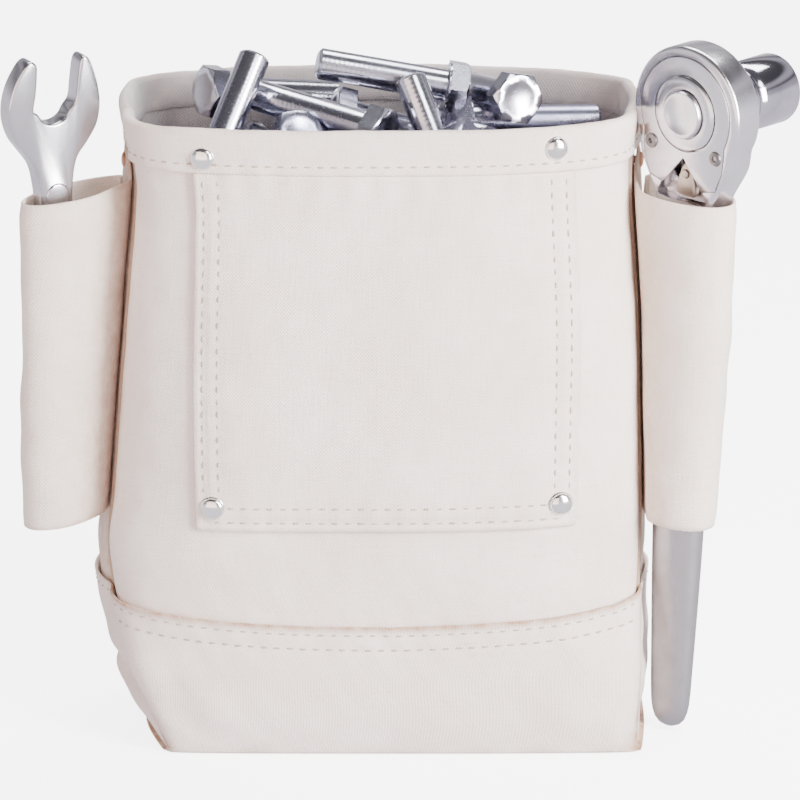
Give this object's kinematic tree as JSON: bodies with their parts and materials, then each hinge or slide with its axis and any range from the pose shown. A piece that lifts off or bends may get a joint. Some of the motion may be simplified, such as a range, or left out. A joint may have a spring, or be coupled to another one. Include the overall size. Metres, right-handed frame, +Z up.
{
  "type": "canvas bolt bag",
  "caption": "White canvas bolt bag for a tool belt: riveted front patch, boot, back belt tunnel, and side sleeves holding a wrench and a ratchet with socket, loaded with hex bolts.",
  "frame": {"origin": "centre of the bag's flat base, on the surface it stands on", "axes": "+Z up, -Y out of the bag's front, +X to the right seen from the front"},
  "size_m": [0.3094, 0.1178, 0.2831],
  "materials": {
    "canvas": "natural off-white heavy cotton duck",
    "tan_webbing": "tan cotton piping",
    "nickel_plate": "nickel-plated domed rivet caps",
    "copper": "copper rivets, slightly tarnished",
    "polished_chrome": "polished chrome plate",
    "satin_chrome": "chrome head, satin handle",
    "dark_steel": "oiled tool steel",
    "bright_zinc": "bright zinc plate"
  },
  "bodies": {
    "bag": {"front_panel": "canvas", "back_panel": "canvas", "left_gusset": "canvas", "right_gusset": "canvas", "base_panel": "canvas", "boot_wrap": "canvas", "boot_left": "canvas", "boot_right": "canvas", "rim_hem": "canvas", "front_patch": "canvas", "belt_tunnel": "canvas", "left_sleeve": "canvas", "right_sleeve": "canvas", "welt_front_left": "tan_webbing", "welt_front_right": "tan_webbing", "welt_back_left": "tan_webbing", "welt_back_right": "tan_webbing", "patch_rivet_top_left": "nickel_plate", "patch_rivet_top_right": "nickel_plate", "patch_rivet_bottom_left": "nickel_plate", "patch_rivet_bottom_right": "nickel_plate", "tunnel_rivet_top_left": "nickel_plate", "tunnel_rivet_top_right": "nickel_plate", "tunnel_rivet_bottom_left": "nickel_plate", "tunnel_rivet_bottom_right": "nickel_plate", "seam_rivet_left_top": "copper", "seam_rivet_left_bottom": "copper", "seam_rivet_right_top": "copper", "seam_rivet_right_bottom": "copper"},
    "wrench": {"wrench": "polished_chrome"},
    "ratchet": {"ratchet_body": "satin_chrome", "gear_cover": "polished_chrome", "cover_screw_left": "dark_steel", "cover_screw_right": "dark_steel", "selector_pin": "nickel_plate"},
    "drive": {"drive_gear": "dark_steel", "detent_ball": "nickel_plate"},
    "button": {"release_button": "polished_chrome"},
    "selector": {"pawl": "dark_steel", "selector_lever": "dark_steel"},
    "socket": {"socket": "polished_chrome"},
    "bolt_load": {"bolt_heap": "bright_zinc", "hex_bolt_01": "bright_zinc", "hex_bolt_02": "bright_zinc", "hex_bolt_03": "bright_zinc", "hex_bolt_04": "bright_zinc", "hex_bolt_05": "bright_zinc", "hex_bolt_06": "bright_zinc", "hex_bolt_07": "bright_zinc", "hex_bolt_08": "bright_zinc", "hex_bolt_09": "bright_zinc", "hex_bolt_10": "bright_zinc", "hex_bolt_11": "bright_zinc"}
  },
  "joints": [
    {"name": "wrench_lift", "type": "slide", "parent": "bag", "child": "wrench", "axis": [-0.0166, -0.0553, 0.9983], "range_m": [0, 0.16]},
    {"name": "ratchet_lift", "type": "slide", "parent": "bag", "child": "ratchet", "axis": [0.0309, -0.0313, 0.999], "range_m": [0, 0.25]},
    {"name": "drive_spin", "type": "hinge", "parent": "ratchet", "child": "drive", "pos_m": [0.1138, -0.0285, 0.2566], "axis": [0.6821, 0.7313, 0.0018], "continuous": true},
    {"name": "button_press", "type": "slide", "parent": "drive", "child": "button", "axis": [0.6821, 0.7313, 0.0018], "range_m": [0, 0.002], "stiffness_N_per_m": 400},
    {"name": "selector_flip", "type": "hinge", "parent": "ratchet", "child": "selector", "pos_m": [0.11303, -0.02772, 0.23182], "axis": [0.6821, 0.7313, 0.0018], "range_deg": [-12, 12]},
    {"name": "socket_pull", "type": "slide", "parent": "drive", "child": "socket", "axis": [0.6821, 0.7313, 0.0018], "range_m": [0, 0.03]},
    {"name": "load_lift", "type": "slide", "parent": "bag", "child": "bolt_load", "axis": [0, 0, 1], "range_m": [0, 0.27]}
  ]
}
